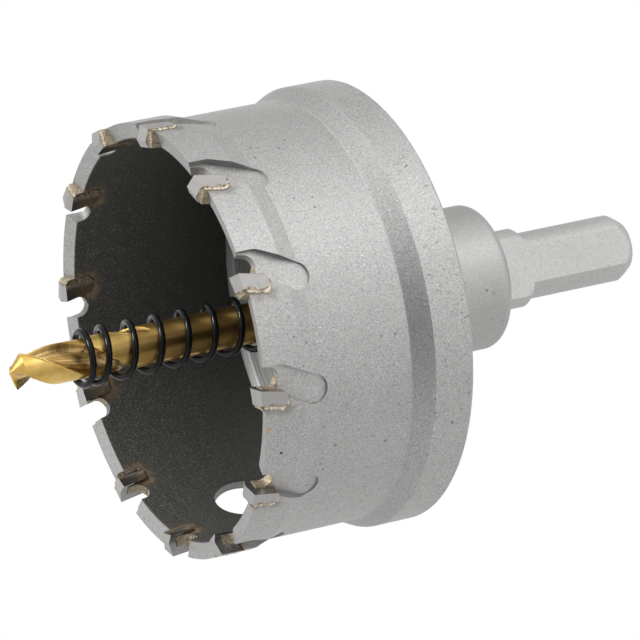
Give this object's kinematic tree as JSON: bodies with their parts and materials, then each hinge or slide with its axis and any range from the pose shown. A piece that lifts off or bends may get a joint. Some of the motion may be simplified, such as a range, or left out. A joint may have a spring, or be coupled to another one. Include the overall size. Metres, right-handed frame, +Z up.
{
  "type": "hole saw",
  "caption": "Carbide-tipped hole saw: steel cup with brazed teeth and chip gullets, coated pilot drill in an ejector spring, and a collar with a three-flat shank.",
  "frame": {"origin": "centre of the flat end face of the shank", "axes": "+X along the tool's axis from the cup towards the shank's end, +Z up as the tool lies on its side, held by its shank, with the side hole facing down"},
  "size_m": [0.1017, 0.0656, 0.0656],
  "materials": {
    "blasted_steel": "fine bead-blasted satin steel, blackened inside the cup",
    "carbide": "ground cemented carbide, smooth satin grey",
    "braze": "grainy pale gold braze with heat stains",
    "gold_coating": "gold titanium nitride coating on ground steel",
    "black_spring": "gloss black spring wire",
    "black_screw": "black oxide"
  },
  "bodies": {
    "root": {"cup": "blasted_steel", "arbor": "blasted_steel", "pilot_drill": "gold_coating", "ejector_spring": "black_spring", "grub_screw": "black_screw", "carbide_tip_01": "carbide", "carbide_tip_02": "carbide", "carbide_tip_03": "carbide", "carbide_tip_04": "carbide", "carbide_tip_05": "carbide", "carbide_tip_06": "carbide", "carbide_tip_07": "carbide", "carbide_tip_08": "carbide", "carbide_tip_09": "carbide", "carbide_tip_10": "carbide", "carbide_tip_11": "carbide", "carbide_tip_12": "carbide", "braze_01": "braze", "braze_02": "braze", "braze_03": "braze", "braze_04": "braze", "braze_05": "braze", "braze_06": "braze", "braze_07": "braze", "braze_08": "braze", "braze_09": "braze", "braze_10": "braze", "braze_11": "braze", "braze_12": "braze"}
  },
  "joints": []
}
